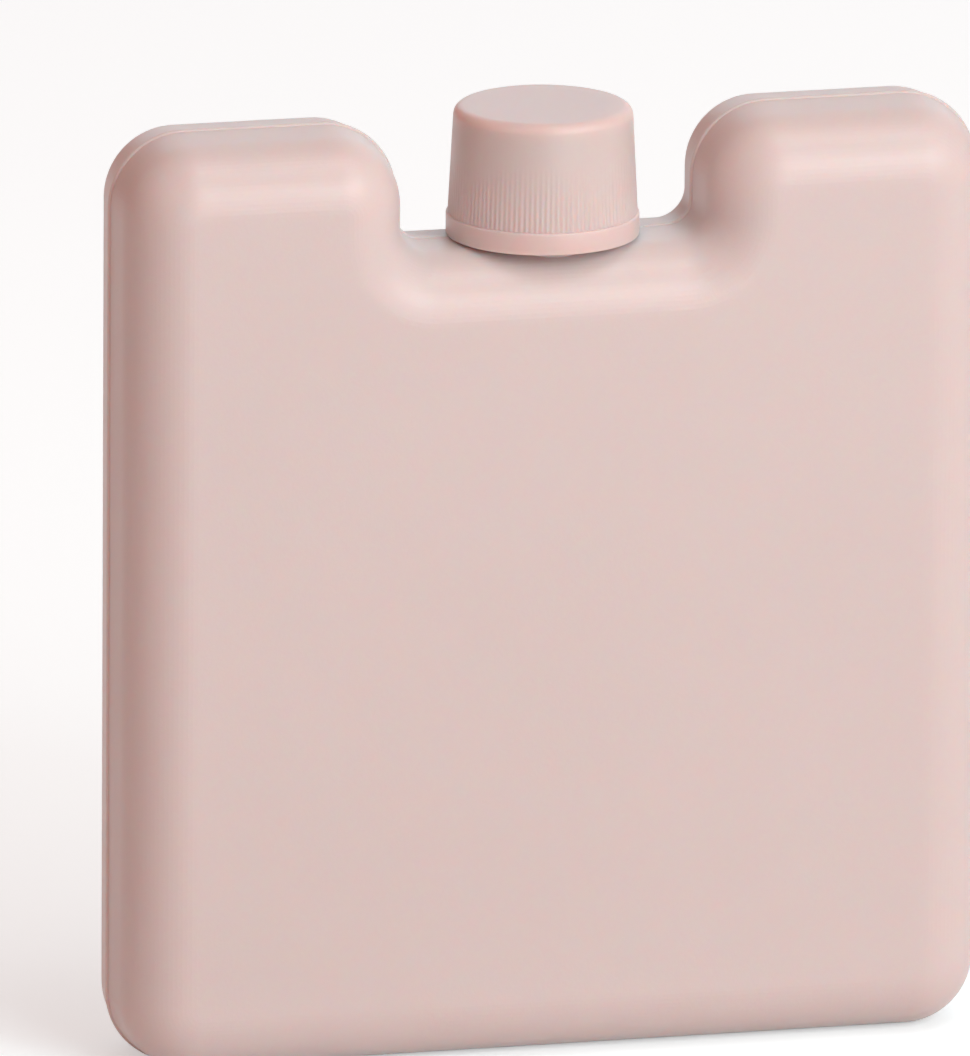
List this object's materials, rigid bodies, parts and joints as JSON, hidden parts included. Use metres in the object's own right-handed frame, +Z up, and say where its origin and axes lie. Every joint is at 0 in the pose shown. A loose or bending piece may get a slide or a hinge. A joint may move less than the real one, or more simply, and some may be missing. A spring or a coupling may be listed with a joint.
{
  "type": "reusable ice pack",
  "caption": "Flat upright moulded coolant bottle with two rounded shoulders and a knurled screw cap in the notch between them, for keeping a cool box cold.",
  "frame": {"origin": "under the middle of the pack, on the surface that it stands on, in the parting plane", "axes": "+X across the pack to the right as seen from its front face, +Y from the front face to the back face, +Z up towards the cap"},
  "size_m": [0.1004, 0.022, 0.1084],
  "materials": {
    "bottle_plastic": "satin",
    "cap_plastic": "satin"
  },
  "bodies": {
    "root": {"bottle_body": "bottle_plastic", "screw_cap": "cap_plastic"}
  },
  "joints": []
}
